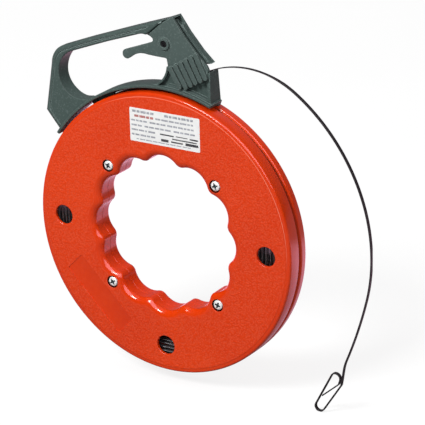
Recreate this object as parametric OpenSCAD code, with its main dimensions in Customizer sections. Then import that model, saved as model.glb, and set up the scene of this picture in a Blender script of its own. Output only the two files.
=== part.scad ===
// Fish tape reel: a two-shell case that turns in a guide handle, with a
// trigger-operated tape brake, the wound tape and its hooked leader.
// Millimetres. +Z is up, +Y runs into the case, the front face is -Y.
// The origin is the centre of the case on its turning axis.

/* [Case] */
// Outside radius of the case
case_r = 120; // [100:0.5:140]
// Distance from the middle plane to a face
case_half = 12.8; // [11:0.1:16]
// Thickness of a face
face_t = 2.4; // [1.6:0.1:3]
// Thickness of the rim wall
rim_t = 3; // [2.5:0.1:3.5]
// Distance of the slot round the rim behind the middle plane
slot_y = 2.4; // [0:0.1:3]
// Half the width of the slot
slot_half = 1.7; // [1.6:0.05:2]
// Radius of the rounded rim edge
rim_edge_r = 2; // [1:0.1:3]
// Width of the lowered border round a face
border_w = 4; // [3:0.1:6]
// Depth of the border's step
border_step = 0.3; // [0.1:0.05:0.5]

/* [Winding grip] */
// Number of finger scallops round the hole
scallops = 12; // [8:1:16]
// Radius of the circle the scallop centres lie on
scallop_pitch_r = 48.7; // [45:0.1:56]
// Radius of one scallop
scallop_r = 18.5; // [16:0.1:24]
// Radius the crests between the scallops are blunted to
crest_r = 61.3; // [56:0.1:66]
// Thickness of the scalloped wall
hub_t = 2.8; // [1.8:0.1:3.2]
// Width of the flare that rolls the face into the hole
flare_w = 4.4; // [1:0.1:4.8]

/* [Case fittings] */
// Radius of the circle of case screws
screw_pitch_r = 72.2; // [70:0.1:76]
// Radius of a screw head
screw_head_r = 4.2; // [3:0.1:4.6]
// Radius of a screw shank
screw_shank_r = 1.9; // [1.5:0.05:2.2]
// Radius of the circle of sight holes
vent_pitch_r = 97.2; // [92:0.1:102]
// Radius of a sight hole
vent_r = 8.3; // [6:0.1:10]
// Width of the face label
label_w = 66; // [50:0.5:80]
// Height of the face label
label_h = 28.2; // [20:0.1:34]
// Thickness of the face label
label_t = 0.1; // [0.1:0.05:0.4]

/* [Tape] */
// Width of the tape
tape_w = 3; // [2.8:0.05:3.2]
// Thickness of the tape
tape_t = 0.5; // [0.4:0.05:0.8]
// Turns in each of the three lanes of the coil
lane_turns = 8; // [4:1:9]
// Distance between lane centres
lane_pitch = 5.6; // [4.5:0.1:6.5]
// Radius of the first turn
coil_in_r = 79.4; // [79.3:0.1:80]
// Radius of the last turn
coil_out_r = 111.2; // [100:0.1:111.5]

/* [Handle] */
// Lean of the handle from the vertical, in degrees
handle_lean = 17; // [0:0.5:30]
// Half the thickness of the handle
handle_half = 6.2; // [5:0.1:8]
// Inner radius of the saddle over the rim
saddle_in_r = 122.6; // [121:0.1:124]
// Outer radius of the saddle
saddle_out_r = 125; // [124.6:0.1:126]
// Half the width of the saddle
saddle_half = 9.2; // [7:0.1:11]
// Angle the saddle covers to each side of the handle, in degrees
saddle_reach = 38.8; // [30:0.2:42]
// Width of the chamfer on the grip's outer edges
grip_chamfer = 3.2; // [1:0.1:4]

/* [Brake lever] */
// Thickness of the lever plate
lever_t = 2.6; // [2:0.1:3.5]
// Outside radius of the pivot boss
boss_r = 5; // [4:0.1:6]
// Radius of the counterbore in the boss
boss_hole_r = 2.9; // [2.6:0.05:3.2]
// Radius of the pivot screw's shoulder
pivot_r = 1.8; // [1.5:0.05:2.2]
// Running clearance round the shoulder
pivot_gap = 0.05; // [0.02:0.01:0.1]
// Number of thumb ribs
ribs = 6; // [4:1:8]
// Width of one rib
rib_w = 4; // [3:0.1:4.6]

/* [Hidden] */
$fn = 64;
eps = 0.01;
rim_in_r = case_r - rim_t;
seam_gap = 0.05;
screw_angles = [45, 135, 225, 315];
screw_seat = 10.2;
screw_head_h = 2.2;
screw_well_r = screw_head_r + 0.9;
screw_boss_r = screw_head_r + 1.1;
bore_gap = 0.05;
vent_angles = [0, 180, 270];
label_x = 5.5;
label_z = 91.3;
panel_mid_r = 90.2;
panel_len = 69;
panel_w = 20.4;
panel_depth = 0.3;
anchor_angle = 75;
anchor_pad_r = 77.8;
anchor_screw_z = -5.5;
strap_r = coil_in_r + tape_t / 2 + 0.05;
strap_t = 0.9;
coil_y = [lane_pitch, -lane_pitch, 0];
coil_step = 15;
shoulder_half = 1.45;
guide_in_r = 114.2;
guide_out_r = rim_in_r - 0.6;
guide_half = 8;
skirt_in_r = case_r + 0.8;
skirt_w = 3.8;
guide_left = [-16.5, -8.5];
guide_right = [18.5, 37];
pivot = [50.4, 152.2];
mouth = [41.91, 141.85];
lead_heading = 22.62;
lead_in = 95;
post_y = -3.4;
washer_t = 0.5;
lever_back = -4;
lever_front = lever_back - lever_t;
boss_front = lever_front - 1.6;
rib_front = lever_front - 2.2;
pin_seat = lever_front + 0.9;
pin_head_r = boss_hole_r - 0.15;
post_r = 4.2;
thread_r = 1.4;
squeeze = 6;
web_half = 2.9;
channel_half = 2;
channel_back = slot_y + channel_half;
bar_chamfer = 1.8;
spring_wire_r = 0.45;
spring_y = -1.5;
spring_r = 5;
spring_leg = 14;
spring_peg = pivot + [12.6, -spring_r - 1.4];
lever_peg = pivot + [12.6, spring_r + 1.4];

function on(r, a) = [r * cos(a), r * sin(a)];
function arc(c, r, a0, a1, n) = [for (i = [0 : n]) c + on(r, a0 + (a1 - a0) * i / n)];
function lean(p) = [p[0] * cos(handle_lean) - p[1] * sin(handle_lean),
                    p[0] * sin(handle_lean) + p[1] * cos(handle_lean)];

// Draws children's flat outline in x and z, from y0 to y1.
module slab(y0, y1) {
  translate([0, y1, 0])
    rotate([90, 0, 0])
      linear_extrude(y1 - y0)
        children();
}

// Turns children's (radius, forward) outline about the case axis.
module turned() {
  rotate([90, 0, 0])
    rotate_extrude($fn = 96)
      children();
}

// A cylinder along y at a point given in x and z.
module rod(p, r, y0, y1) {
  translate([p[0], y1, p[1]])
    rotate([90, 0, 0])
      cylinder(r = r, h = y1 - y0);
}

// A cone that widens a hole of radius r by w at the front face.
module flare(p, r, w) {
  translate([p[0], -case_half + w, p[1]])
    rotate([90, 0, 0])
      cylinder(r1 = r, r2 = r + w + 0.5, h = w + 0.5);
}

// ---- case ----

module scallop_outline(extra) {
  circle(r = crest_r + extra);
  for (i = [0 : scallops - 1])
    translate(on(scallop_pitch_r, i * 360 / scallops))
      circle(r = scallop_r + extra);
}

module shell_profile(lip) {
  border = case_half - border_step;
  edge = arc([case_r - rim_edge_r, border - rim_edge_r], rim_edge_r, 90, 0, 4);
  polygon(concat([[54, case_half], [case_r - border_w - border_step, case_half],
                  [case_r - border_w, border]],
                 edge, [[case_r, lip], [rim_in_r, lip],
                  [rim_in_r, case_half - face_t], [54, case_half - face_t]]));
}

// Everything the two shells share, with its face at -y; its rim ends lip in front of y = 0.
module shell_body(lip) {
  difference() {
    union() {
      turned()
        shell_profile(lip);
      slab(-case_half + face_t / 2, -seam_gap)
        scallop_outline(hub_t);
      for (a = screw_angles)
        rod(on(screw_pitch_r, a), screw_boss_r, -case_half + face_t / 2, -seam_gap);
    }
    slab(-case_half - 1, 1)
      scallop_outline(0);
    for (i = [0 : scallops - 1])
      flare(on(scallop_pitch_r, i * 360 / scallops), scallop_r, flare_w);
    for (a = vent_angles) {
      rod(on(vent_pitch_r, a), vent_r, -case_half - 1, -case_half + face_t + 1);
      flare(on(vent_pitch_r, a), vent_r, 0.6);
    }
  }
}

module front_shell() {
  color("orangered")
    difference() {
      shell_body(slot_half - slot_y);
      for (a = screw_angles) {
        rod(on(screw_pitch_r, a), screw_well_r, -case_half - 1, -screw_seat);
        rod(on(screw_pitch_r, a), screw_shank_r + 0.3, -screw_seat - 1, 1);
      }
      rotate([0, 45, 0])
        translate([-panel_mid_r - panel_w / 2, -case_half - 1, -panel_len / 2])
          cube([panel_w, 1 + panel_depth, panel_len]);
    }
}

module rear_shell() {
  color("orangered")
    difference() {
      union() {
        mirror([0, 1, 0])
          shell_body(slot_half + slot_y);
        rotate([0, -anchor_angle, 0])
          translate([crest_r + 0.4, seam_gap, -9])
            cube([anchor_pad_r - crest_r - 0.4, case_half - 1 - seam_gap, 18]);
      }
      slab(0, case_half + 1)
        scallop_outline(0);
      for (a = screw_angles)
        rod(on(screw_pitch_r, a), screw_shank_r + bore_gap, -1, case_half - 2.4);
      rotate([0, -anchor_angle, 0])
        translate([anchor_pad_r - 6, lane_pitch, anchor_screw_z])
          rotate([0, 90, 0])
            cylinder(r = 1.25, h = 8);
    }
}

module case_screw() {
  cross_w = 1.1;
  cross_l = 5;
  difference() {
    union() {
      rotate_extrude($fn = 48)
        polygon([[0, 0], [screw_head_r, 0], [screw_head_r, screw_head_h * 0.45],
                 [screw_head_r * 0.86, screw_head_h * 0.82], [screw_head_r * 0.5, screw_head_h],
                 [0, screw_head_h]]);
      translate([0, 0, -17])
        cylinder(r = screw_shank_r, h = 17.5);
    }
    for (a = [0, 90])
      rotate([0, 0, a])
        translate([-cross_l / 2, -cross_w / 2, screw_head_h - 1.3])
          cube([cross_l, cross_w, 3]);
  }
}

module case_screws() {
  color("silver")
    for (a = screw_angles)
      translate([on(screw_pitch_r, a)[0], -screw_seat, on(screw_pitch_r, a)[1]])
        rotate([90, 0, 0])
          rotate([0, 0, a + 20])
            case_screw();
}

module front_label() {
  color("white")
    translate([label_x - label_w / 2, -case_half - label_t, label_z - label_h / 2])
      cube([label_w, label_t, label_h]);
}

// ---- tape ----

// One flat lane of the coil: its radius goes from r0 to r1 over n turns from angle a0.
module lane(r0, r1, n, a0, y) {
  steps = n * 360 / coil_step;
  radii = [for (i = [0 : steps]) r0 + (r1 - r0) * i / steps];
  outer = [for (i = [0 : steps]) on(radii[i] + tape_t / 2, a0 + i * coil_step)];
  inner = [for (i = [steps : -1 : 0]) on(radii[i] - tape_t / 2, a0 + i * coil_step)];
  slab(y - tape_w / 2, y + tape_w / 2)
    polygon(concat(outer, inner));
}

// The tape's step from one lane to the next.
module crossing(r, a0, y0, y1) {
  hull()
    for (e = [[a0, y0], [a0 + coil_step, y1]])
      rotate([0, -e[0], 0])
        translate([r - tape_t / 2, e[1] - tape_w / 2, -0.02])
          cube([tape_t, tape_w, 0.04]);
}

module tape_coil() {
  in_r = coil_in_r + 3.6;
  a1 = anchor_angle + coil_step;
  a2 = a1 + coil_step;
  color("dimgray")
    union() {
      lane(coil_in_r, coil_out_r, lane_turns, anchor_angle, coil_y[0]);
      crossing(coil_out_r, anchor_angle, coil_y[0], coil_y[1]);
      lane(coil_out_r, in_r, lane_turns, a1, coil_y[1]);
      crossing(in_r, a1, coil_y[1], coil_y[2]);
      lane(in_r, coil_out_r, lane_turns, a2, coil_y[2]);
    }
}

// The strap that holds the inner end of the tape to the rear shell.
module tape_anchor() {
  color("gray")
    rotate([0, -anchor_angle, 0])
      difference() {
        union() {
          translate([strap_r, lane_pitch - 3.4, -8])
            cube([strap_t, 6.8, 16]);
          translate([anchor_pad_r + 0.05, lane_pitch - 3.4, -8])
            cube([strap_r - anchor_pad_r, 6.8, 5.4]);
        }
        translate([anchor_pad_r - 1, lane_pitch, anchor_screw_z])
          rotate([0, 90, 0])
            cylinder(r = 1.4, h = 5);
      }
}

module anchor_screw() {
  color("silver")
    rotate([0, -anchor_angle, 0])
      translate([strap_r + strap_t + 0.02, lane_pitch, anchor_screw_z])
        rotate([0, 90, 0]) {
          translate([0, 0, -7])
            cylinder(r = 1.2, h = 7.5);
          cylinder(r = 2.3, h = 0.9);
        }
}

// Steps along a path of [length, 0] straights and [radius, sweep] bends to the right.
function run_at(s, g, f) =
  g[1] == 0
    ? [s[0] + g[0] * f * cos(s[2]), s[1] + g[0] * f * sin(s[2]), s[2]]
    : let (h = s[2] - sign(g[0]) * g[1] * f)
      [s[0] + g[0] * (sin(s[2]) - sin(h)), s[1] - g[0] * (cos(s[2]) - cos(h)), h];
function run_ends(s, g) =
  [for (i = 0, e = s; i <= len(g); e = i < len(g) ? run_at(e, g[i], 1) : e, i = i + 1) e];
function run_points(s, g) =
  let (e = run_ends(s, g))
  [for (i = [0 : len(g) - 1])
     let (n = max(1, ceil(g[i][1] / (abs(g[i][0]) > 30 ? 5 : 15))))
     for (j = [(i == 0 ? 0 : 1) : n]) run_at(e[i], g[i], j / n)];
function beside(p, d) = [for (q = p) [q[0] - d * sin(q[2]), q[1] + d * cos(q[2])]];
function backwards(p) = [for (i = [len(p) - 1 : -1 : 0]) p[i]];

lead_start = [mouth[0] - lead_in * cos(lead_heading), mouth[1] - lead_in * sin(lead_heading), lead_heading];
lead_path = [[lead_in, 0], [78.9, 57.25], [154.5, 37.2], [148.1, 32.05], [395, 8.26], [-42, 12.91],
             [12.7, 0], [5, 23.5], [28.9, 0], [4.1, 174.6], [31.6, 0], [4.1, 170.5], [3.3, 0], [2.6, 31],
             [18.8, 0]];

module tape_lead() {
  path = run_points(lead_start, lead_path);
  color("dimgray")
    slab(slot_y - tape_w / 2, slot_y + tape_w / 2)
      polygon(concat(beside(path, tape_t / 2), backwards(beside(path, -tape_t / 2))));
}

// ---- handle, drawn upright and then leaned ----

module leaned() {
  rotate([0, -handle_lean, 0])
    children();
}

// The handle's turn takes a point of the leaned frame back to the upright one.
function upright(p) = [p[0] * cos(handle_lean) + p[1] * sin(handle_lean),
                       p[1] * cos(handle_lean) - p[0] * sin(handle_lean)];

corner_c = [-49.5, 148.2];
corner_r = 18;
post_foot = [-85.5, 117];
corner_arc = arc(corner_c, corner_r, 160, 93, 6);
bar_top = [[-21, 168], [24, 170], [55, 170.7]];
head_top = [64.7, 171.5];
head_low = [83.9, 128.7];
wall_top = [84.8, 123.3];
wall_foot = [77, 97.4];

module handle_outline() {
  polygon(concat([[-77.2, 97.6], post_foot], corner_arc, bar_top,
                 [head_top, [70.1, 155.9], [77.4, 139.7], head_low, wall_top, wall_foot,
                  [60, 80], [-60, 80]]));
}

module grip_opening() {
  polygon(concat(arc([-41, 140], 20.4, 270, 95, 14), arc([28, 151], 12.5, 97, 4, 7),
                 [[41.8, 146.4], [45, 142.8]], arc([28, 141], 19.1, 0, -90, 8)));
}

// Takes the outer edge of the grip between two outline points off at 45 degrees, on the side s.
module edge_cut(p, q, w, s) {
  d = q - p;
  translate([p[0], 0, p[1]])
    rotate([0, -atan2(d[1], d[0]), 0])
      translate([-0.4, s * handle_half, 0])
        rotate([-s * 45, 0, 0])
          translate([0, -6, -w * sqrt(0.5)])
            cube([norm(d) + 0.8, 12, 12]);
}

module edge_cuts(points, w) {
  for (i = [0 : len(points) - 2], s = [-1, 1])
    edge_cut(points[i], points[i + 1], w, s);
}

module saddle_sector(r0, r1, half, a0, a1) {
  rotate([90, 0, 0])
    rotate([0, 0, 90 - a1])
      rotate_extrude(angle = a1 - a0, $fn = 96)
        translate([r0, -half])
          square([r1 - r0, 2 * half]);
}

tape_line = [upright(mouth), upright([lead_start[0], lead_start[1]])];
tape_dir = (tape_line[0] - tape_line[1]) / norm(tape_line[0] - tape_line[1]);

// A point s past the mouth along the tape's straight run and n above it.
function by_tape(s, n) = tape_line[0] + s * tape_dir + n * [-tape_dir[1], tape_dir[0]];

// A point of the squeezed lever, taken back to where it is at rest.
function released(p) =
  let (d = p - pivot)
  pivot + [d[0] * cos(squeeze) - d[1] * sin(squeeze), d[0] * sin(squeeze) + d[1] * cos(squeeze)];

module foot_pocket() {
  polygon(concat(arc([28, 141], 20.8, -8, -62, 6),
                 [[48, 119.3], [60, 113.6], [72, 105.9], [76, 103], [81.4, 121.4], [81, 126], [50, 131]]));
}

module corner_notch() {
  polygon([[57, 169.7], [66, 170.4], [76, 170.4], [76, 163.4], [66, 163.4], [62, 167]]);
}

module head_pocket() {
  polygon([[41.4, 160.2], [55, 166.6], [63, 167.6], [68.2, 160], [90, 135], by_tape(8, -0.6),
           by_tape(-30, -0.6), by_tape(-30, 8), [50.4, 133], [49.2, 141.5], [46.2, 144.6],
           [43.2, 148], [42.9, 152]]);
}

module handle_body() {
  color("slategray")
    leaned()
      difference() {
        union() {
          difference() {
            slab(-handle_half, handle_half)
              handle_outline();
            rod([0, 0], saddle_in_r + 0.8, -20, 20);
            slab(-20, 20)
              grip_opening();
            slab(-20, lever_back + 0.1)
              polygon([[36.4, 162.9], [56.1, 171.4], [57, 180], [75, 180], [95, 128], [95, 121],
                       [82, 121], [80, 118], [46, 118], [40, 126], [30, 150]]);
            slab(-20, 0)
              head_pocket();
            slab(-20, -web_half)
              foot_pocket();
            slab(channel_back + 0.5, 20)
              foot_pocket();
            slab(-20, channel_back)
              corner_notch();
            edge_cuts(concat([post_foot], corner_arc), grip_chamfer);
            edge_cuts([corner_arc[6], bar_top[0], [24, 170]], bar_chamfer);
          }
          saddle_sector(saddle_in_r, saddle_out_r, saddle_half, -saddle_reach, saddle_reach);
          translate([0, saddle_half - 0.4 - skirt_w / 2, 0])
            saddle_sector(skirt_in_r, saddle_in_r + 0.6, skirt_w / 2, -13.4, saddle_reach - 1.2);
          for (g = [guide_left, guide_right]) {
            translate([0, slot_y, 0])
              saddle_sector(guide_in_r + 0.5, saddle_in_r + 0.5, shoulder_half, g[0], g[1]);
            saddle_sector(guide_in_r, guide_out_r, guide_half, g[0], g[1]);
          }
          rod(pivot, post_r, post_y, 0.5);
          rod(spring_peg, 0.9, -2.6, 0.5);
        }
        rod(pivot, thread_r + bore_gap, -20, 4.4);
        slab(slot_y - channel_half, channel_back)
          polygon([by_tape(10, -0.6), by_tape(-62, -1.4), by_tape(-62, 2.4), by_tape(10, 2.4)]);
        slab(-1, channel_back)
          polygon([by_tape(-29, -0.3), by_tape(-29, 10.5), by_tape(-6.5, 10.5), by_tape(-6.5, -0.3)]);
        slab(-20, 20)
          polygon([by_tape(10, 6), by_tape(-5.6, 6), by_tape(-7.6, -0.4), by_tape(10, -0.4)]);
        slab(-20, lever_back + 0.1)
          polygon([[44, 116.4], [44, 122], [60, 122], [60, 110.4]]);
      }
}

// ---- brake lever ----

module lever_plate() {
  polygon(concat([[38.4, 162.3], [55.4, 169.6], head_top, [70.1, 155.9], [77.4, 139.7], [83.7, 128.7],
                  [84.4, 124.6], [80.4, 119.6], [56, 117.5], [52.8, 117.6], [47.2, 132.6], [48.3, 140.3],
                  [32.1, 146], [25.1, 148.4], [18.9, 148.1]],
                 arc([11.7, 150], 4, 292, 86, 8),
                 [[27.3, 154.8], [38.6, 155.5], [40.3, 156.6], [40.3, 159]]));
}

module thumb_rib(i) {
  top = [50.2, 132.4] + i * [5.38, 1.4];
  low = [55.3, 112.5] + i * [5.06, 1.03] + (i == 0 ? [-0.6, 2.2] : [0, 0]);
  d = low - top;
  slab(rib_front, lever_front + 0.2)
    translate(top)
      rotate(atan2(d[1], d[0]))
        polygon(concat([[0, rib_w / 2 - 0.8], [0, 0.8 - rib_w / 2], [1.6, -rib_w / 2]],
                       arc([norm(d) - rib_w / 2, 0], rib_w / 2, -90, 90, 6), [[1.6, rib_w / 2]]));
}

module brake_lever() {
  color("lightslategray")
    leaned()
      difference() {
        union() {
          slab(lever_front, lever_back)
            lever_plate();
          rod(pivot, boss_r, boss_front, lever_front + 0.2);
          for (i = [0 : ribs - 1])
            thumb_rib(i);
          slab(lever_back - 0.2, channel_back - 0.4)
            polygon([released(by_tape(-25, 2.6)), released(by_tape(-25, 6.4)),
                     released(by_tape(-12, 6.4)), released(by_tape(-12, 2.6))]);
          rod(lever_peg, 0.9, lever_back - 0.2, -0.6);
        }
        rod(pivot, pivot_r + pivot_gap, -20, 20);
        rod(pivot, boss_hole_r, -20, pin_seat);
      }
}

module brake_pad() {
  color("black")
    leaned()
      slab(-3.6, channel_back - 0.4)
        polygon([released(by_tape(-25.6, tape_t / 2 + 0.1)), released(by_tape(-25.6, 2.55)),
                 released(by_tape(-11.4, 2.55)), released(by_tape(-11.4, tape_t / 2 + 0.1))]);
}

module pivot_screw() {
  head_y = pin_seat - 0.05;
  color("silver")
    leaned()
      difference() {
        union() {
          rod(pivot, pin_head_r, head_y - 1.5, head_y);
          rod(pivot, pivot_r, head_y - 0.1, post_y - eps);
          rod(pivot, thread_r, post_y - 0.1, 4);
        }
        for (a = [30, 120])
          translate([pivot[0], head_y - 1, pivot[1]])
            rotate([0, a, 0])
              translate([-1.7, -2, -0.35])
                cube([3.4, 2, 0.7]);
      }
}

module pivot_washer() {
  color("gainsboro")
    leaned()
      difference() {
        rod(pivot, 4, lever_back + 0.05, post_y - 0.05);
        rod(pivot, pivot_r + 0.1, -20, 20);
      }
}

module lever_spring() {
  color("darkgray")
    leaned()
      translate([pivot[0], spring_y, pivot[1]])
        rotate([90, 0, 0])
          union() {
            rotate([0, 0, 90])
              rotate_extrude(angle = 180, $fn = 48)
                translate([spring_r, 0])
                  circle(r = spring_wire_r, $fn = 24);
            for (s = [-1, 1])
              translate([0, s * spring_r, 0])
                rotate([0, 90, 0])
                  cylinder(r = spring_wire_r, h = spring_leg, $fn = 24);
          }
}

front_shell();
rear_shell();
case_screws();
front_label();
tape_coil();
tape_anchor();
anchor_screw();
handle_body();
brake_lever();
brake_pad();
pivot_screw();
pivot_washer();
lever_spring();
tape_lead();
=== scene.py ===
# Fish tape reel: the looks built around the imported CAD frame.
# Outlines are drawn in millimetres, in the frame's own axes, and MM turns them into metres.
# Lengths in the materials, the stage, the lights and the camera are metres, unless MM is named.
import math
import random

import bmesh
import bpy
from mathutils import Matrix, Vector


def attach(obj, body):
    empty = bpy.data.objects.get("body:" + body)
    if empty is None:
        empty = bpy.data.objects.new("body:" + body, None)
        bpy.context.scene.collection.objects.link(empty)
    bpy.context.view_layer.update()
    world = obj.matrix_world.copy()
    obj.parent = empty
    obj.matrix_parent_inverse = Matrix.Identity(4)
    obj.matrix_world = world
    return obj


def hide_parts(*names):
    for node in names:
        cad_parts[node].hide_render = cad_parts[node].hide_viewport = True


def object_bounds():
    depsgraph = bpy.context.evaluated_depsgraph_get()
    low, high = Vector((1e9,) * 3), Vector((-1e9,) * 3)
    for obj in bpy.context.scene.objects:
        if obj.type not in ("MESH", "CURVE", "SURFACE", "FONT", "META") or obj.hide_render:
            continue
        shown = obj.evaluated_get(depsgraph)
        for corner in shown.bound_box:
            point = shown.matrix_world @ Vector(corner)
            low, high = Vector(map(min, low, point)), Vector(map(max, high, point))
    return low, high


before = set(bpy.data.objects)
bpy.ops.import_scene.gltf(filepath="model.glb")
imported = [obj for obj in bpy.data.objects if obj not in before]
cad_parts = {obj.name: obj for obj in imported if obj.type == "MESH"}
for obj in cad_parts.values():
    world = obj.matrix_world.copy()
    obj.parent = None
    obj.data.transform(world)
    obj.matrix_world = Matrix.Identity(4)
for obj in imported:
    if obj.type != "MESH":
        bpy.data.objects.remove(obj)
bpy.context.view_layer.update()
MM = 0.001
TAU = 2 * math.pi
scene = bpy.context.scene
rng = random.Random(7)

# ---------------------------------------------------------------- main sizes, equal or close to the CAD's

# case: half its width, its wall, the flat face, the border round the face, and the rim
CASE_R = 120.0
HALF = 12.8
FACE_T = 2.4
FACE_R = 115.0
BORDER_STEP = 0.3
BORDER_LINE_R = 116.3
RIM_ROUND = 2.1
RIM_IN = 117.0
DRAFT = 0.22
# slot in the rim, and how far it lies behind the case's middle
SLOT_Y = 2.4
SLOT_HALF = 1.7
SLOT_LIP = SLOT_Y + SLOT_HALF
# scalloped hole: its lobes, how softly they meet, and the roll of its edge
LOBES = 12
PITCH_R = 49.4
LOBE_R = 17.9
LOBE_BLEND = 6.8
ROLL = 6.4
ROLL_DEPTH = 5.2
HUB_T = 2.8
# round holes and the sunk panel in the face
VENT_R = 8.3
VENT_ROLL = 0.7
VENT_AT = 97.2
VENT_ANGLES = (0, 180, 270)
PANEL_AT, PANEL_TURN = 90.3, 225
PANEL_HALF = (10.2, 34.5)
PANEL_CORNER = 2.0
PANEL_DEPTH = 0.35
# case screws: wells, domed heads (straight and flat are shares of height and radius), recess and shank
SCREW_R = 72.2
SCREW_ANGLES = (45, 135, 225, 315)
SCREW_TURNS = (18, 63, 32, 71)
SCREW_SEAT = -10.2
WELL_R = 5.25
WELL_ROLL = 0.3
HEAD_R, HEAD_H = 4.2, 2.3
HEAD_STRAIGHT = 0.38
HEAD_FLAT = 0.45
CROSS_L, CROSS_W = 5.4, 1.3
SHANK_R, SHANK_END = 1.9, 6.5
# label and its print
LABEL_AT = (5.5, 91.3)
LABEL_HALF = (33.0, 14.1)
LABEL_CORNER = 0.9
LABEL_FRONT = -HALF - 0.085
INK_FRONT, INK_BACK = -HALF - 0.097, -HALF - 0.06
# the handle's lean in degrees, the tape, the lever's pivot and the rear of the tape's channel
LEAN = 17.0
TAPE_W = 3.0
TAPE_T = 0.5
TAPE_EASE = 0.14
PIVOT = (50.4, 152.2)
CHANNEL_BACK = SLOT_Y + 2.0


def polar(r, degrees, centre=(0.0, 0.0)):
    a = math.radians(degrees)
    return (centre[0] + r * math.cos(a), centre[1] + r * math.sin(a))


def arc(centre, r, a0, a1, n):
    return [polar(r, a0 + (a1 - a0) * i / n, centre) for i in range(n + 1)]


def turned(p, degrees, about=(0.0, 0.0)):
    a = math.radians(degrees)
    dx, dz = p[0] - about[0], p[1] - about[1]
    return (about[0] + dx * math.cos(a) - dz * math.sin(a), about[1] + dx * math.sin(a) + dz * math.cos(a))


def leaned(p):
    """A point of the upright handle, in its place on the leaning handle."""
    return turned(p, LEAN)


def upright(p):
    """A point of the leaning handle, as it is on the upright one."""
    return turned(p, -LEAN)


def as_drawn(p):
    return p


def eased(f):
    """0 to 1 with a soft start and end."""
    return f * f * (3 - 2 * f)


def dense(points, step=3.0):
    """Adds points on the long edges of an open line."""
    out = [points[0]]
    for p, q in zip(points, points[1:]):
        d = math.dist(p, q)
        n = max(1, round(d / step))
        out += [(p[0] + (q[0] - p[0]) * i / n, p[1] + (q[1] - p[1]) * i / n) for i in range(1, n + 1)]
    return out


def box_points(low, high):
    return [low, (high[0], low[1]), high, (low[0], high[1])]


def rounded_box(centre, half_w, half_h, r, n):
    points = []
    for sx, sz, start in ((1, 1, 0), (-1, 1, 90), (-1, -1, 180), (1, -1, 270)):
        corner = (centre[0] + sx * (half_w - r), centre[1] + sz * (half_h - r))
        points += arc(corner, r, start, start + 90, n)
    return points


# ---------------------------------------------------------------- mesh helpers

SHARP_ANGLE = 32


def obj_from(bm, name, material):
    mesh = bpy.data.meshes.new(name)
    bmesh.ops.recalc_face_normals(bm, faces=bm.faces)
    bm.to_mesh(mesh)
    bm.free()
    mesh.materials.append(material)
    mesh.shade_smooth()
    mesh.set_sharp_from_angle(angle=math.radians(SHARP_ANGLE))
    obj = bpy.data.objects.new(name, mesh)
    scene.collection.objects.link(obj)
    return obj


def ring_grid(bm, rings, closed=False):
    """Joins rings of equal length, each a list of (x, y, z) in mm, into a tube of quads."""
    made = [[bm.verts.new(Vector(p) * MM) for p in ring] for ring in rings]
    pairs = list(zip(made, made[1:])) + ([(made[-1], made[0])] if closed else [])
    for a, b in pairs:
        n = len(a)
        for i in range(n):
            j = (i + 1) % n
            bm.faces.new((a[i], a[j], b[j], b[i]))
    return made


def inset(points, widths):
    """Moves each point of a closed outline into the material, which lies on its left."""
    n = len(points)
    out = []
    for i in range(n):
        (x0, z0), (x1, z1), (x2, z2) = points[i - 1], points[i], points[(i + 1) % n]
        a = Vector((x1 - x0, z1 - z0)).normalized()
        b = Vector((x2 - x1, z2 - z1)).normalized()
        na, nb = Vector((-a.y, a.x)), Vector((-b.y, b.x))
        m = na + nb
        m = m.normalized() if m.length > 1e-6 else na
        k = widths[i] / max(m.dot(na), 0.4)
        out.append((x1 + m.x * k, z1 + m.y * k))
    return out


def area(points):
    return sum(p[0] * q[1] - q[0] * p[1] for p, q in zip(points, points[1:] + points[:1])) / 2


# each pair is a distance in from the front rounding and a depth below the front
GROOVE = ((0.5, 0.0), (0.75, 0.55), (1.35, 0.55), (1.6, 0.0))


def spread(value, points):
    return list(value) if hasattr(value, "__len__") else [value] * len(points)


def plate(bm, outline, width, y0, y1, holes=(), steps=4, place=leaned, back=None, grow=0.0, groove=None):
    """A flat part with rounded edges: outline and holes lie in x and z, and it fills y0 to y1.
    width is how far the rounding reaches in, one number or one for each point.
    back is the same for the rear edge.
    grow says how far each point of the outline moves out of the material at the rear.
    groove is 1 where a shallow groove runs beside the front rounding, else 0."""
    loops = [(list(outline), width, back if back is not None else width, True)]
    loops += [(list(h), w, w, False) for h, w in holes]
    caps = ([], [])
    for points, front_w, back_w, outer in loops:
        fw, bw = spread(front_w, points), spread(back_w, points)
        gw = spread(grow if outer else 0.0, points)
        marks = list(groove) if groove is not None and outer else []
        if (area(points) > 0) != outer:
            for row in (points, fw, bw, gw, marks):
                row.reverse()
        limit = (y1 - y0) / 2 - 0.02
        rings = []
        for reach, depth in reversed(GROOVE) if marks else ():
            pts = inset(points, [w + (reach if mark else 0.02 + reach * 0.05) for w, mark in zip(fw, marks)])
            rings.append([(place(q)[0], y0 + depth * mark, place(q)[1]) for q, mark in zip(pts, marks)])
        for side, ws in ((0, fw), (1, bw)):
            order = range(steps, -1, -1) if side == 0 else range(steps + 1)
            for k in order:
                f = math.pi / 2 * k / steps
                pts = inset(points, [w * (1 - math.cos(f)) - side * g for w, g in zip(ws, gw)])
                ring = []
                for (x, z), w in zip(pts, ws):
                    d = min(w, limit) * (1 - math.sin(f))
                    px, pz = place((x, z))
                    ring.append((px, y0 + d if side == 0 else y1 - d, pz))
                rings.append(ring)
        made = ring_grid(bm, rings)
        for cap, ring in ((0, made[0]), (1, made[-1])):
            n = len(ring)
            for i in range(n):
                caps[cap].append(bm.edges.get((ring[i], ring[(i + 1) % n])))
    for edges in caps:
        bmesh.ops.triangle_fill(bm, use_beauty=True, use_dissolve=False, edges=edges)


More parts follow.
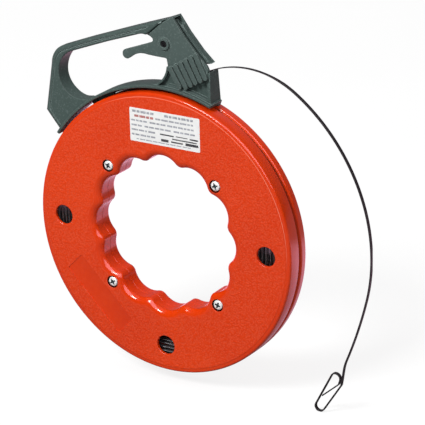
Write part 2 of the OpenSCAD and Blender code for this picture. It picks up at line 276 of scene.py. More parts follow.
def lathe(bm, profile, centre, n=48, closed=True, place=leaned):
    """Turns (radius, y) points about the y line through centre."""
    cx, cz = place(centre)
    rings = []
    for r, y in profile:
        circle = [polar(r, 360 * i / n, (cx, cz)) for i in range(n)]
        rings.append([(x, y, z) for x, z in circle])
    made = ring_grid(bm, rings, closed)
    if not closed:
        for ring in (made[0], made[-1]):
            bm.faces.new(ring)


def ride(obj, body, slot, *nodes):
    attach(obj, body)
    if nodes:
        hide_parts(*nodes)


def cut(obj, cutters):
    """Cuts the cutters out of obj and removes them."""
    bpy.context.view_layer.objects.active = obj
    for c in cutters:
        m = obj.modifiers.new("cut", "BOOLEAN")
        m.operation, m.solver, m.object = "DIFFERENCE", "EXACT", c
        bpy.ops.object.modifier_apply(modifier=m.name)
        bpy.data.objects.remove(c)
    obj.data.shade_smooth()
    obj.data.set_sharp_from_angle(angle=math.radians(SHARP_ANGLE))


# ---------------------------------------------------------------- material helpers

class Nodes:
    """Short names for building one node tree."""

    def __init__(self, tree, coordinates):
        self.t = tree
        self.t.nodes.clear()
        self.coord = self.t.nodes.new("ShaderNodeTexCoord").outputs[coordinates]

    def link(self, a, b):
        self.t.links.new(a, b)

    def put(self, socket, value):
        if hasattr(value, "is_output"):
            self.link(value, socket)
        else:
            socket.default_value = value

    def noise(self, scale, detail=4.0, vector=None):
        n = self.t.nodes.new("ShaderNodeTexNoise")
        self.put(n.inputs["Vector"], vector or self.coord)
        n.inputs["Scale"].default_value = scale
        n.inputs["Detail"].default_value = detail
        n.inputs["Roughness"].default_value = 0.55
        return n.outputs["Fac"]

    def cells(self, scale):
        n = self.t.nodes.new("ShaderNodeTexVoronoi")
        n.feature = "SMOOTH_F1"
        self.put(n.inputs["Vector"], self.coord)
        n.inputs["Scale"].default_value = scale
        return n.outputs["Distance"]

    def ramp(self, fac, lo, hi, a=0.0, b=1.0):
        n = self.t.nodes.new("ShaderNodeMapRange")
        n.clamp = True
        self.put(n.inputs["Value"], fac)
        n.inputs["From Min"].default_value = lo
        n.inputs["From Max"].default_value = hi
        n.inputs["To Min"].default_value = a
        n.inputs["To Max"].default_value = b
        return n.outputs["Result"]

    def math(self, op, a, b=0.0):
        n = self.t.nodes.new("ShaderNodeMath")
        n.operation = op
        self.put(n.inputs[0], a)
        self.put(n.inputs[1], b)
        return n.outputs[0]

    def product(self, first, *others):
        for other in others:
            first = self.math("MULTIPLY", first, other)
        return first

    def length(self, a, b):
        return self.math("SQRT", self.math("ADD", self.math("MULTIPLY", a, a), self.math("MULTIPLY", b, b)))

    def mix(self, fac, a, b):
        """Blends two colours; a colour mix node keeps them in inputs 6 and 7 and its result in output 2."""
        n = self.t.nodes.new("ShaderNodeMix")
        n.data_type = "RGBA"
        self.put(n.inputs["Factor"], fac)
        self.put(n.inputs[6], a)
        self.put(n.inputs[7], b)
        return n.outputs[2]

    def xyz(self):
        n = self.t.nodes.new("ShaderNodeSeparateXYZ")
        self.link(self.coord, n.inputs[0])
        return n.outputs

    def stretch(self, x, y, z):
        n = self.t.nodes.new("ShaderNodeMapping")
        self.link(self.coord, n.inputs["Vector"])
        n.inputs["Scale"].default_value = (x, y, z)
        return n.outputs["Vector"]

    def edge(self, radius, lo, hi):
        """1 on convex edges, 0 elsewhere."""
        b = self.t.nodes.new("ShaderNodeBevel")
        b.samples = 4
        b.inputs["Radius"].default_value = radius
        g = self.t.nodes.new("ShaderNodeNewGeometry")
        d = self.t.nodes.new("ShaderNodeVectorMath")
        d.operation = "DOT_PRODUCT"
        self.link(b.outputs[0], d.inputs[0])
        self.link(g.outputs["Normal"], d.inputs[1])
        return self.ramp(d.outputs["Value"], lo, hi, 1.0, 0.0)

    def ray(self, kind):
        return self.t.nodes.new("ShaderNodeLightPath").outputs[kind]


class Surface(Nodes):
    """A new material with one principled shader."""

    def __init__(self, name):
        self.m = bpy.data.materials.new(name)
        self.m.use_nodes = True
        super().__init__(self.m.node_tree, "Object")
        out = self.t.nodes.new("ShaderNodeOutputMaterial")
        self.bsdf = self.t.nodes.new("ShaderNodeBsdfPrincipled")
        self.link(self.bsdf.outputs[0], out.inputs["Surface"])

    def set(self, **values):
        for name, value in values.items():
            self.put(self.bsdf.inputs[name.replace("_", " ")], value)

    def bump(self, height, strength, distance):
        n = self.t.nodes.new("ShaderNodeBump")
        self.put(n.inputs["Strength"], strength)
        n.inputs["Distance"].default_value = distance
        self.put(n.inputs["Height"], height)
        self.link(n.outputs[0], self.bsdf.inputs["Normal"])


def rgba(r, g, b):
    return (r, g, b, 1.0)


def scaled(colour, factor, added=0.0, most=1.0):
    return tuple(min(most, c * factor + added) for c in colour[:3]) + (1.0,)


def border_line(n, x, y, z, radius):
    """The lit line along the raised face's edge, on the upper right of the front."""
    off = n.math("ABSOLUTE", n.math("SUBTRACT", radius, BORDER_LINE_R * MM))
    line = n.ramp(off, 0.1 * MM, 0.4 * MM, 1.0, 0.0)
    lit = n.ramp(n.math("ADD", n.math("MULTIPLY", z, 1.6), x), 0.10, 0.16)
    return n.product(line, lit, n.ramp(y, -HALF * MM, (2.0 - HALF) * MM, 1.0, 0.0))


def rim_slot_painted_light(n, y, radius):
    """The slot's walls and lips in the rim, where painted light lightens the slot's shade."""
    outer = n.ramp(radius, (RIM_IN + 1.2) * MM, (RIM_IN + 2.0) * MM, 1.0, 0.0)
    inner = n.ramp(radius, (RIM_IN - 0.5) * MM, RIM_IN * MM)
    near = n.ramp(n.math("ABSOLUTE", y), (SLOT_LIP + 0.7) * MM, (SLOT_LIP + 1.9) * MM, 1.0, 0.0)
    return n.product(outer, inner, near)


def well_shade(n, x, y, z):
    """Within a screw well's radius of each screw's axis, all that lies behind the front wells' mouths.
    That takes in a disc on the rear face, where there is no well."""
    shade = 0.0
    for angle in SCREW_ANGLES:
        cx, cz = polar(SCREW_R * MM, angle)
        near = n.length(n.math("SUBTRACT", x, cx), n.math("SUBTRACT", z, cz))
        shade = n.math("MAXIMUM", shade, n.ramp(near, (WELL_R + 0.02) * MM, (WELL_R + 0.12) * MM, 1.0, 0.0))
    return n.product(shade, n.ramp(y, (0.25 - HALF) * MM, (0.7 - HALF) * MM))


def case_material():
    n = Surface("case_orange_red")
    x, y, z = n.xyz()
    radius = n.length(x, z)
    face = n.ramp(n.math("ABSOLUTE", y), (HALF - 0.12) * MM, (HALF - 0.01) * MM)
    textured = n.product(face, n.ramp(radius, FACE_R * MM, (FACE_R + 0.7) * MM, 1.0, 0.0))
    broad = n.noise(9, 2)
    fine = n.noise(260, 3)
    colour = n.mix(n.ramp(broad, 0.35, 0.65), rgba(0.76, 0.046, 0.001), rgba(0.69, 0.036, 0.001))
    colour = n.mix(n.ramp(fine, 0.45, 0.75, 0.0, 0.18), colour, rgba(0.84, 0.085, 0.012))
    grain = n.cells(720)
    tone = n.product(n.ramp(grain, 0.0, 0.55, 0.45, 0.0), textured)
    colour = n.mix(tone, colour, rgba(0.88, 0.13, 0.06))
    colour = n.mix(n.product(border_line(n, x, y, z, radius), 0.75), colour, rgba(0.95, 0.30, 0.20))
    wear = n.product(n.edge(1.2 * MM, 0.90, 0.99), n.ramp(n.noise(60), 0.5, 0.7, 0.0, 0.25))
    colour = n.mix(wear, colour, rgba(0.93, 0.16, 0.08))
    # painted light: the shaded walls and lips of the rim slot are painted a lighter, redder orange
    colour = n.mix(n.product(rim_slot_painted_light(n, y, radius), 0.75), colour, rgba(1.0, 0.13, 0.045))
    colour = n.mix(n.product(well_shade(n, x, y, z), 0.93), colour, rgba(0.02, 0.004, 0.002))
    n.set(Base_Color=colour, IOR=1.5)
    smooth = n.ramp(n.noise(35), 0.3, 0.7, 0.13, 0.22)
    rough = n.ramp(n.noise(120), 0.3, 0.7, 0.40, 0.52)
    plain = n.math("SUBTRACT", 1.0, textured)
    n.set(Roughness=n.math("ADD", n.product(textured, rough), n.product(plain, smooth)))
    n.set(Specular_IOR_Level=n.ramp(textured, 0.0, 1.0, 0.5, 0.28))
    height = n.math("ADD", grain, n.product(n.noise(2600, 2), 0.3))
    n.bump(height, n.product(textured, 0.9), 0.34 * MM)
    return n.m


def handle_material(name, base, light, roughness, grain=1900):
    n = Surface(name)
    broad = n.noise(14, 3)
    colour = n.mix(n.ramp(broad, 0.35, 0.65), base, scaled(base, 1.12))
    speck = n.noise(700, 2)
    colour = n.mix(n.ramp(speck, 0.55, 0.8, 0.0, 0.3), colour, light)
    wear = n.product(n.edge(0.9 * MM, 0.72, 0.97), n.ramp(n.noise(45), 0.3, 0.7, 0.7, 1.0))
    colour = n.mix(wear, colour, light)
    n.set(Base_Color=colour, IOR=1.48)
    n.set(Roughness=n.ramp(n.noise(90, 3), 0.3, 0.7, roughness - 0.06, roughness + 0.07))
    n.set(Specular_IOR_Level=0.12)
    n.bump(n.math("ADD", n.noise(grain, 3), n.product(n.cells(1300), 0.5)), 0.28, 0.10 * MM)
    return n.m


def steel_material(name, base, roughness, streak=(1, 1, 1), metallic=1.0, spots=None):
    n = Surface(name)
    lines = n.noise(420, 3, vector=n.stretch(*streak))
    colour = n.mix(n.ramp(lines, 0.3, 0.7), base, scaled(base, 1.5))
    if spots:
        colour = n.mix(n.ramp(n.noise(150, 4), 0.55, 0.75, 0.0, 0.7), colour, spots)
    wear = n.product(n.edge(0.3 * MM, 0.85, 0.98), 0.5)
    colour = n.mix(wear, colour, scaled(base, 2.2, 0.02, 0.9))
    n.set(Base_Color=colour, Metallic=metallic)
    n.set(Roughness=n.ramp(lines, 0.2, 0.8, roughness - 0.07, roughness + 0.1))
    n.bump(lines, 0.25, 0.04 * MM)
    return n.m


def label_material():
    n = Surface("label_vinyl")
    colour = n.mix(n.ramp(n.noise(120, 3), 0.4, 0.7), rgba(0.90, 0.90, 0.89), rgba(0.84, 0.845, 0.84))
    n.set(Base_Color=colour, Roughness=n.ramp(n.noise(300), 0.3, 0.7, 0.32, 0.42))
    n.bump(n.noise(900, 2), 0.12, 0.05 * MM)
    return n.m


def print_material(name, base):
    n = Surface(name)
    colour = n.mix(n.ramp(n.noise(900, 3), 0.35, 0.7), base, scaled(base, 1.8, 0.05))
    n.set(Base_Color=colour, Roughness=0.45)
    n.bump(n.noise(900, 2), 0.1, 0.03 * MM)
    return n.m


def soft_material(name, base, roughness):
    n = Surface(name)
    colour = n.mix(n.ramp(n.noise(200, 4), 0.35, 0.7), base, scaled(base, 1.5))
    n.set(Base_Color=colour, Roughness=n.ramp(n.noise(80), 0.3, 0.7, roughness - 0.05, roughness + 0.05))
    n.bump(n.noise(1500, 3), 0.3, 0.08 * MM)
    return n.m


ORANGE = case_material()
RUBBED_GREY = rgba(0.27, 0.34, 0.325)
GREY = handle_material("handle_grey_green", rgba(0.060, 0.087, 0.080), RUBBED_GREY, 0.44)
GREY_LEVER = handle_material("lever_grey_green", rgba(0.071, 0.099, 0.092), RUBBED_GREY, 0.42, 1600)
TAPE = steel_material("tape_blued_steel", rgba(0.004, 0.004, 0.005), 0.62, (0.15, 3, 0.15), 0.0)
COIL = steel_material("coil_blued_steel", rgba(0.16, 0.165, 0.17), 0.34, (0.15, 3, 0.15), 0.7)
ZINC = steel_material("screw_zinc", rgba(0.95, 0.95, 0.93), 0.36, (1, 1, 1), 0.12, rgba(0.80, 0.80, 0.79))
# painted shade: a near-black steel that stands for the shade in the screws' cross recesses
RECESS_SHADE = steel_material("screw_recess_painted_shade", rgba(0.03, 0.045, 0.05), 0.5, (1, 1, 1), 0.4)
CLIP = steel_material("clip_steel", rgba(0.45, 0.45, 0.46), 0.32)
LABEL = label_material()
INK = print_material("label_ink_grey", rgba(0.26, 0.27, 0.30))
INK_RED = print_material("label_ink_red", rgba(0.36, 0.13, 0.12))
INK_BLACK = print_material("label_ink_black", rgba(0.03, 0.03, 0.035))
RUBBER = soft_material("pad_rubber", rgba(0.02, 0.02, 0.02), 0.75)
# black-oxide steel, kept near-black also as painted shade, so the pivot screw deep in the boss's hole reads
# dark
BLACK = steel_material("screw_black_oxide_and_shade", rgba(0.035, 0.035, 0.037), 0.38)
NYLON = soft_material("washer_nylon", rgba(0.70, 0.69, 0.64), 0.4)

# ---------------------------------------------------------------- case shells


def hole_radius(theta, d):
    """The scalloped hole's outline, d into the material: a smooth maximum of the nearest lobes."""
    step = TAU / LOBES
    t = (theta + step / 2) % step - step / 2

    def lobe(a):
        s = PITCH_R * math.sin(a)
        r = LOBE_R + d
        return PITCH_R * math.cos(a) + math.sqrt(max(r * r - s * s, 1.0))

    a, b = lobe(t), lobe(t - step if t > 0 else t + step)
    k = max(LOBE_BLEND - 0.3 * d, 0.8)
    h = max(k - abs(a - b), 0.0) / k
    return max(a, b) + h * h * k / 4


def station_radius(kind, v, a):
    """The skin's radius at angle a. v is a distance into the material from the hole or from the hub's
    outer wall, a share of the way out along the face or its inside, or the radius itself."""
    if kind == "hole":
        return hole_radius(a, v)
    if kind == "face":
        return (1 - v) * hole_radius(a, ROLL + 1.0) + v * FACE_R
    if kind == "inside":
        return (1 - v) * (hole_radius(a, HUB_T) + 0.8) + v * (RIM_IN - 0.8)
    if kind == "hub":
        return hole_radius(a, HUB_T) + v
    return v


def shell_stations(front):
    """Where the shell's closed skin runs: from the seam round the face to the rim and back inside."""
    stations = [("hole", 0.5, -0.05), ("hole", 0.12, -0.12), ("hole", 0.0, -0.3), ("hole", 0.0, -3.0),
                ("hole", 0.06, -HALF + ROLL_DEPTH)]
    for k in range(1, 13):
        f = math.pi / 2 * k / 12
        stations.append(("hole", ROLL * (1 - math.cos(f)), -HALF + ROLL_DEPTH - ROLL_DEPTH * math.sin(f)))
    stations.append(("hole", ROLL + 1.0, -HALF))
    stations += [("face", share, -HALF) for share in (0.25, 0.5, 0.75)]
    border = -HALF + BORDER_STEP
    step_down = ((0.0, -HALF), (0.5, -HALF), (0.75, -HALF + 0.06), (1.0, border - 0.06), (1.25, border),
                 (2.75, border))
    stations += [("round", FACE_R + out, y) for out, y in step_down]
    for k in range(1, 8):
        f = math.pi / 2 * k / 7
        r = CASE_R - RIM_ROUND - DRAFT + RIM_ROUND * math.sin(f)
        stations.append(("round", r, border + RIM_ROUND * (1 - math.cos(f))))
    lip = SLOT_Y - SLOT_HALF if front else -SLOT_LIP
    ease = 0.9 if front else 1.5
    stations += [("round", CASE_R - DRAFT * 0.6, -7.0), ("round", CASE_R, lip - ease)]
    for k in range(1, 5):
        f = math.pi / 2 * k / 4
        stations.append(("round", CASE_R - ease * (1 - math.cos(f)), lip - ease + ease * math.sin(f)))
    behind = -HALF + FACE_T
    stations += [("round", RIM_IN + 0.5, lip), ("round", RIM_IN + 0.1, lip - 0.15)]
    stations += [("round", RIM_IN, lip - 0.6), ("round", RIM_IN, behind + 0.8)]
    stations += [("round", RIM_IN - 0.8, behind), ("inside", 0.5, behind)]
    stations += [("hub", 0.8, behind), ("hub", 0.0, behind + 0.8), ("hub", 0.0, -0.05)]
    return stations


def shell_rings(front):
    side = 1 if front else -1
    n = LOBES * 48
    rings = []
    for kind, v, y in shell_stations(front):
        angles = [TAU * i / n for i in range(n)]
        radii = [station_radius(kind, v, a) for a in angles]
        rings.append([(r * math.cos(a), y * side, r * math.sin(a)) for a, r in zip(angles, radii)])
    return rings


def flared_cutter(at, r, roll, depth, side):
    """A round cutter whose mouth rolls out, so the hole it leaves has a rounded edge."""
    bm = bmesh.new()
    profile = [(r, -HALF + depth)]
    for k in range(6):
        f = math.pi / 2 * k / 5
        profile.append((r + roll * (1 - math.cos(f)), -HALF + roll - roll * math.sin(f)))
    profile.append((r + roll + 0.6, -HALF - 1.0))
    lathe(bm, [(p, y * side) for p, y in profile], at, 64, closed=False, place=as_drawn)
    return obj_from(bm, "cutter", ORANGE)


def panel_cutter():
    """Sinks the front face's shallow panel, a long rounded rectangle across its own radius."""
    bm = bmesh.new()
    outline = rounded_box((PANEL_AT, 0.0), *PANEL_HALF, PANEL_CORNER, 5)
    plate(bm, outline, 0.02, -HALF - 2, -HALF + PANEL_DEPTH, place=lambda p: turned(p, PANEL_TURN))
    return obj_from(bm, "cutter", ORANGE)


def build_shell(name, front):
    bm = bmesh.new()
    ring_grid(bm, shell_rings(front), closed=True)
    obj = obj_from(bm, name, ORANGE)
    side = 1 if front else -1
    cutters = [flared_cutter(polar(VENT_AT, a), VENT_R, VENT_ROLL, FACE_T + 1, side) for a in VENT_ANGLES]
    if front:
        well = HALF + SCREW_SEAT
        cutters += [flared_cutter(polar(SCREW_R, a), WELL_R, WELL_ROLL, well, side) for a in SCREW_ANGLES]
        cutters.append(panel_cutter())
    cut(obj, cutters)
    return obj


ride(build_shell("case_front", True), "case", "case_plastic", "front_shell")
ride(build_shell("case_rear", False), "case", "case_plastic", "rear_shell")

# ---------------------------------------------------------------- case screws


def paint_recess_shade(head, at):
    """Gives the faces sunk below the screw's dome the dark material, as painted shade in the cross recess."""
    head.data.materials.append(RECESS_SHADE)
    for face in head.data.polygons:
        c = face.center / MM
        rho = math.hypot(c.x - at[0], c.z - at[1])
        f = min(1.0, max(0.0, (rho / HEAD_R - HEAD_FLAT) / (1 - HEAD_FLAT)))
        dome = SCREW_SEAT - HEAD_H * HEAD_STRAIGHT - HEAD_H * (1 - HEAD_STRAIGHT) * math.sqrt(1 - f * f)
        if rho < CROSS_L / 2 + 0.2 and dome + 0.06 < c.y < SCREW_SEAT:
            face.material_index = 1


def screw_head(name, at, turn):
    """A domed screw with a cross recess, on its shank."""
    bm = bmesh.new()
    edge = SCREW_SEAT - HEAD_H * HEAD_STRAIGHT
    top = SCREW_SEAT - HEAD_H
    dome = [(HEAD_R, SCREW_SEAT), (HEAD_R, edge)]
    for k in range(1, 7):
        f = math.pi / 2 * k / 6
        r = HEAD_R * HEAD_FLAT + HEAD_R * (1 - HEAD_FLAT) * math.cos(f)
        dome.append((r, edge - HEAD_H * (1 - HEAD_STRAIGHT) * math.sin(f)))
    dome.append((0.02, top))
    shank = [(0.02, SHANK_END), (SHANK_R - 0.3, SHANK_END), (SHANK_R, SHANK_END - 0.4), (SHANK_R, SCREW_SEAT)]
    lathe(bm, shank + dome, at, 40, closed=False, place=as_drawn)
    head = obj_from(bm, name, ZINC)
    cutters = []
    half_l, half_w = CROSS_L / 2, CROSS_W / 2
    for arm in (0, 90):
        bm = bmesh.new()
        box = box_points((at[0] - half_l, at[1] - half_w), (at[0] + half_l, at[1] + half_w))
        plate(bm, box, 0.02, top - 1, top + 1.1, place=lambda p: turned(p, turn + arm, at))
        cutters.append(obj_from(bm, "cutter", ZINC))
    bm = bmesh.new()
    cone = [(0.02, top + 1.5), (CROSS_W * 0.95, top + 0.5), (CROSS_W * 1.35, top - 0.5)]
    lathe(bm, cone, at, 16, closed=False, place=as_drawn)
    cutters.append(obj_from(bm, "cutter", ZINC))
    cut(head, cutters)
    paint_recess_shade(head, at)
    return head


def join(objs, name):
    bpy.ops.object.select_all(action="DESELECT")
    for o in objs:
        o.select_set(True)
    bpy.context.view_layer.objects.active = objs[0]
    bpy.ops.object.join()
    objs[0].name = name
    objs[0].data.name = name
    return objs[0]


heads = [screw_head("screw_at_%d" % a, polar(SCREW_R, a), turn) for a, turn in zip(SCREW_ANGLES, SCREW_TURNS)]
ride(join(heads, "case_screw_set"), "case", "screw_zinc", "case_screws")

# ---------------------------------------------------------------- label


def label_bar(bm, low, high):
    """One printed bar, from corner to corner about the label's middle."""
    corners = [(LABEL_AT[0] + x, LABEL_AT[1] + z) for x, z in box_points(low, high)]
    plate(bm, corners, 0.01, INK_FRONT, INK_BACK, place=as_drawn, steps=1)


def build_label():
    """The sheet, and bars that stand for its lines of print and small drawings."""
    bm = bmesh.new()
    outline = rounded_box(LABEL_AT, *LABEL_HALF, LABEL_CORNER, 4)
    plate(bm, outline, 0.03, LABEL_FRONT, -HALF, place=as_drawn, steps=1)
    sheet = obj_from(bm, "label_sheet", LABEL)
    grey, red, black = bmesh.new(), bmesh.new(), bmesh.new()
    # each row: ink, height above the label's middle, size of the print, and the spans that its words fill
    rows = [(grey, 11.3, 1.9, ((-30.5, -10), (0, 28.5))),
            (red, 7.5, 1.9, ((-28.5, -10.5),)),
            (grey, 7.5, 1.4, ((-8.5, 27),)),
            (grey, 3.6, 1.4, ((-31.5, -15.5), (-14, 1.5), (2.5, 27.5))),
            (grey, -0.4, 1.4, ((-31.5, -20.5), (-19, 7), (8.5, 29))),
            (grey, -4.3, 1.4, ((-31.5, -17), (-15.5, -8.5))),
            (grey, -8.3, 1.4, ((-31.5, -7.5),)),
            (grey, -11.8, 0.8, ((-27, 24.5),))]
    for ink, z, t, spans in rows:
        for x, end in spans:
            while x < end - 1:
                run = min(rng.uniform(2.2, 6.5), end - x)
                label_bar(ink, (x, z - t / 2), (x + run, z + t / 2))
                x += run + 0.8
    drawings = (((-4.5, -5.0), (8.5, -3.9)), ((23.5, -5.2), (31.5, -4.0)), ((19.5, -10.4), (31.5, -8.2)),
                ((-3.5, -10.4), (3.5, -8.2)), ((10.5, -4.6), (21.5, -3.9)), ((7, -7.4), (30, -6.4)),
                ((6, -10), (17, -8.8)))
    for low, high in drawings:
        label_bar(black, low, high)
    return (sheet, obj_from(grey, "label_marks_grey", INK), obj_from(red, "label_marks_red", INK_RED),
            obj_from(black, "label_marks_black", INK_BLACK))


sheet, marks_grey, marks_red, marks_black = build_label()
ride(sheet, "case", "label_vinyl", "front_label")
ride(marks_grey, "case", "label_vinyl")
ride(marks_red, "case", "label_vinyl")
ride(marks_black, "case", "label_vinyl")

# ---------------------------------------------------------------- tape

MOUTH = (41.91, 141.85)
LEAD_X_MAX, LEAD_Z_MIN = 183.7245, -130.7995
LEAD_HEADING = 22.62
LEAD_IN = 95.0
# (length, 0) is a straight run; (radius, degrees) is a bend, to the left where the radius is negative
LEAD_PATH = [(LEAD_IN, 0), (78.9, 57.25), (154.5, 37.2), (148.1, 32.05), (395, 8.26), (-42, 12.91), (12.7, 0),
             (5, 23.5), (28.9, 0), (4.1, 174.6), (31.6, 0), (4.1, 170.5), (3.3, 0), (2.6, 31), (18.8, 0)]


def strip(bm, samples, thicker=None):
    """The tape swept along (x, y, z, heading) samples, with eased edges: its width across y, its thickness
    across the bend. thicker gives a factor for the thickness at x. It stays inside the CAD's box."""
    w, t, e = TAPE_W / 2, TAPE_T / 2, TAPE_EASE
    section = [(-t + e, -w), (t - e, -w), (t, -w + e), (t, w - e)]
    section += [(t - e, w), (-t + e, w), (-t, w - e), (-t, -w + e)]
    rings = []
    for x, y, z, heading in samples:
        nx, nz = -math.sin(heading), math.cos(heading)
        k = thicker(x) if thicker else 1.0
        ring = [(x + nx * a * k, y + b, z + nz * a * k) for a, b in section]
        rings.append([(min(px, LEAD_X_MAX), py, max(pz, LEAD_Z_MIN)) for px, py, pz in ring])
    made = ring_grid(bm, rings)
    bm.faces.new(made[0])
    bm.faces.new(made[-1])


def lead_samples(step=1.2):
    h = math.radians(LEAD_HEADING)
    x, z = MOUTH[0] - LEAD_IN * math.cos(h), MOUTH[1] - LEAD_IN * math.sin(h)
    out = [(x, SLOT_Y, z, h)]
    for size, sweep in LEAD_PATH:
        turn = math.radians(sweep)
        length = size if sweep == 0 else abs(size) * turn
        n = max(2, math.ceil(length / (step if abs(size) > 12 or sweep == 0 else 0.35)))
        for _ in range(n):
            if sweep == 0:
                x, z = x + length / n * math.cos(h), z + length / n * math.sin(h)
            else:
                g = h - math.copysign(turn / n, size)
                x, z = x + size * (math.sin(h) - math.sin(g)), z - size * (math.cos(h) - math.cos(g))
                h = g
            out.append((x, SLOT_Y, z, h))
    return out


def free_tape(x):
    """The lead is drawn thicker outside the handle."""
    return 1.0 + 1.1 * min(1.0, max(0.0, (x - 92.0) / 14.0))


bm = bmesh.new()
strip(bm, lead_samples(), thicker=free_tape)
ride(obj_from(bm, "tape_lead_strip", TAPE), "handle", "tape_steel", "tape_lead")

COIL_IN, COIL_OUT = 79.0, 111.5


def coil_samples(step=6):
    """The wound tape: three lanes of turns with a slow wander, stepping from lane to lane."""
    lanes = [(5.6, 79.4, 111.0), (-5.6, 111.0, 83.2), (0.0, 83.2, 111.0)]
    turns, a = 8, 75.0
    wander = [(rng.uniform(0.25, 0.6), rng.uniform(0, TAU), rng.choice((2, 3, 5))) for _ in range(4)]
    out, n = [], turns * 360 // step
    for k, (y, r0, r1) in enumerate(lanes):
        for i in range(n + 1):
            if k and i == 0:
                continue
            f = i / n
            ease = min(1, i / 12, (n - i) / 12)
            r = r0 + (r1 - r0) * f
            for amp, ph, m in wander:
                r += ease * amp * 0.5 * math.sin(m * math.radians(a) * 0.37 + ph)
            across = y + ease * 0.35 * math.sin(math.radians(a) * 0.61)
            if k and i <= 6:
                before = lanes[k - 1][0]
                across = before + (y - before) * eased(i / 6)
            px, pz = polar(min(max(r, COIL_IN), COIL_OUT), a)
            out.append((px, across, pz, math.radians(a) + math.pi / 2))
            a += step
    return out


bm = bmesh.new()
strip(bm, coil_samples())
ride(obj_from(bm, "tape_coil_turns", COIL), "case", "tape_steel", "tape_coil")

# ---------------------------------------------------------------- handle

CORNER_C, CORNER_R = (-49.5, 148.2), 18.0
POST_FOOT = (-85.5, 117.0)
FINGER_C, FINGER_R = (28, 151), 12.5
FOOT_C, FOOT_IN, FOOT_OUT = (28, 141), 19.1, 20.9
HEAD_TOP = (64.7, 171.5)
HEAD_LOW = (83.9, 128.7)
WALL_TOP = (84.8, 123.3)
WALL_FOOT = (77.0, 97.4)
HANDLE_HALF = 6.2
POCKET_Y = -3.9
SADDLE_IN, SADDLE_OUT = 122.6, 125.0
SADDLE_REACH = 38.8
SADDLE_HALF = 9.2
SKIRT_IN, SKIRT_OUT, SKIRT_END = 120.25, 124.4, 111.4
CREST_IN, CREST_OUT = 124.2, 127.0
NECK_IN, NECK_OUT, NECK_HALF = 114.6, 123.2, 1.45
RAIL_IN, RAIL_OUT, RAIL_HALF = 114.2, 116.4, 8
RAIL_ENDS = ((106.5, 98.5), (71.5, 53.0))
PIVOT_PEG = (PIVOT[0] + 12.6, PIVOT[1] - 6.4)
LEVER_PEG = (PIVOT[0] + 12.6, PIVOT[1] + 6.4)
TAPE_DIR = polar(1.0, LEAD_HEADING - LEAN)
MOUTH_UP = upright(MOUTH)


def by_tape(s, n):
    """s past the mouth along the tape's straight run, and n above it."""
    return (MOUTH_UP[0] + s * TAPE_DIR[0] - n * TAPE_DIR[1], MOUTH_UP[1] + s * TAPE_DIR[1] + n * TAPE_DIR[0])


def ring_part(r_in, r_out, a0, a1, n):
    """The outline of a part of a ring round the case's axis, from angle a0 to a1."""
    return arc((0, 0), r_out, a0, a1, n) + arc((0, 0), r_in, a1, a0, n)


def grip(bm):
    """The post and the bar: one C-shaped plate with a deep outer roll."""
    outer = dense([(-77.6, 98.2), POST_FOOT] + arc(CORNER_C, CORNER_R, 160, 93, 16)
                  + [(-21, 168), (1, 169), (24, 170), (40, 170.4), (55.9, 170.7)])
    finger = arc(FINGER_C, FINGER_R, 62, 97, 7)
    inner = [(37.6, 162.95), (35.0, 161.9)] + finger
    inner += dense([finger[-1], (-5, 162.5), (-41, 160.4)], 4)[1:]
    inner += arc((-41, 140), 20.4, 95, 268, 34) + [(-38.5, 118.2)]
    base = arc((0, 0), CREST_IN, 108.5, 127.6, 14)
    deep = [3.6 + (1.9 - 3.6) * eased(min(1, max(0, (x + 66) / 40))) for x, z in outer]
    inside = [1.3 if z > 158 else 0.7 for x, z in inner]
    grooved = [1 if x < 40 else 0 for x, z in outer]
    grooved += [1 if -34 < x < 24 and z > 158 else 0 for x, z in inner] + [0] * len(base)
    swell = [1.2 * max(0.0, min(1.0, (-48 - x) / 10)) for x, z in inner]
    swell = [0.0] * len(outer) + swell + [0.0] * len(base)
    plate(bm, outer + inner + base, deep + inside + [0.3] * len(base), -HANDLE_HALF, HANDLE_HALF,
          steps=7, grow=swell, groove=grooved)


def head(bm):
    """The rear half behind the lever, with the pocket for the brake pad, and the pocket's low walls."""
    left_edge = arc(FINGER_C, FINGER_R, 74, 4, 9) + [(41.8, 146.4), (45, 142.8), (47.1, 141)]
    low_edge = arc(FOOT_C, FOOT_IN, 0, -34, 6) + [by_tape(-36, -0.7)]
    low_corner = [by_tape(-7, -0.7), (74.2, 126.8), (76.2, 129.5)]
    right_edge = [HEAD_LOW, (77.4, 139.7), (70.1, 155.9)]
    pocket = [by_tape(-29.6, -0.7), by_tape(-29.6, 10.7), by_tape(-7.2, 10.7), by_tape(-7.2, -0.7)]
    notched = left_edge + low_edge + pocket + low_corner + right_edge
    notched += [(67.6, 163.1), (66.6, 163.7), (65.6, 163.6), (62.4, 166.9), (57.5, 169.4), (55, 170.4),
                (31.5, 170.1)]
    plate(bm, notched, 0.3, 0.0, CHANNEL_BACK + 0.1, steps=3)
    full = left_edge + low_edge + low_corner + right_edge + [HEAD_TOP, (55, 170.7), (31.5, 170.1)]
    plate(bm, full, 0.1, CHANNEL_BACK, HANDLE_HALF, steps=3, back=0.2)
    rib = [(62.2, 168.2), (64.2, 168.6), (66.0, 165.0), (81.6, 130.4), (79.6, 129.8)]
    plate(bm, rib, 0.25, -1.3, 0.5, steps=3)
    top = [(35, 164.5), (42, 162.4), (55, 167.6), (58.5, 169.9), (65.2, 170.5), HEAD_TOP, (55, 170.7),
           (36.5, 170.2)]
    plate(bm, top, 0.2, POCKET_Y, HANDLE_HALF - 0.5, steps=3)
    left = left_edge + [(46.8, 137.6), (48.6, 137.2), (49.2, 141.5), (46.2, 144.6), (43.2, 148), (42.9, 152),
                        (41.4, 160.2), (42.6, 163.2), (34, 166)]
    plate(bm, left, 0.3, POCKET_Y, 1.0, steps=3)


